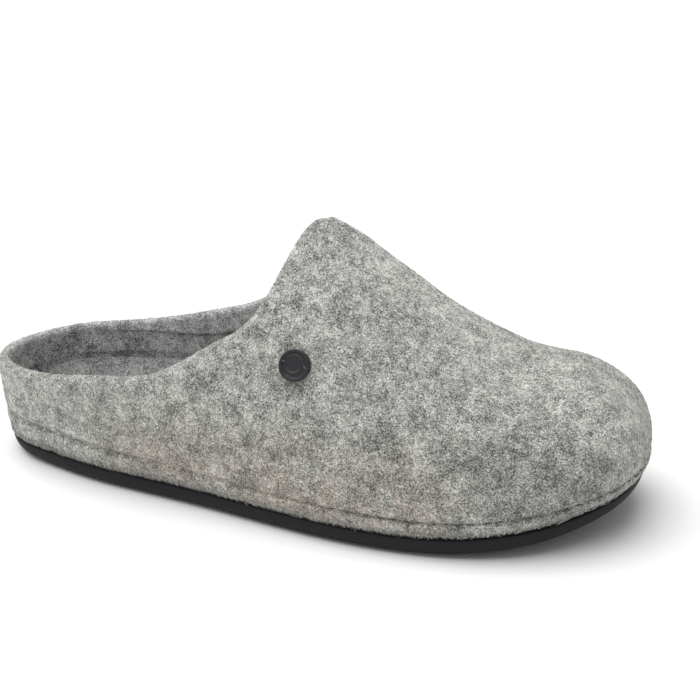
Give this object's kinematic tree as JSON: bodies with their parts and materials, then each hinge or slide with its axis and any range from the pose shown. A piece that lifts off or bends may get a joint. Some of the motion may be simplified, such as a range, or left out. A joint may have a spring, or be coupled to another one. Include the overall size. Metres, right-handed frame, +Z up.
{
  "type": "slipper",
  "caption": "Backless felt clog slipper for the right foot: moulded felt shell, contoured footbed, thin rubber sole, round button.",
  "frame": {"origin": "centre of the shoe's box, on the floor plane under the sole", "axes": "+X from heel to toe, +Y to the wearer's left, which is the inner side of this right foot, +Z up"},
  "size_m": [0.2824, 0.106, 0.1131],
  "materials": {
    "felt_shell": "mottled light grey wool felt, matt and slightly hairy",
    "felt_bedding": "mottled mid grey wool felt, matt, pressed flat",
    "sole_rubber": "black rubber, satin",
    "button_plastic": "black moulded plastic, semi-matt"
  },
  "bodies": {
    "root": {"upper": "felt_shell", "footbed": "felt_bedding", "outsole": "sole_rubber", "button": "button_plastic"}
  },
  "joints": []
}
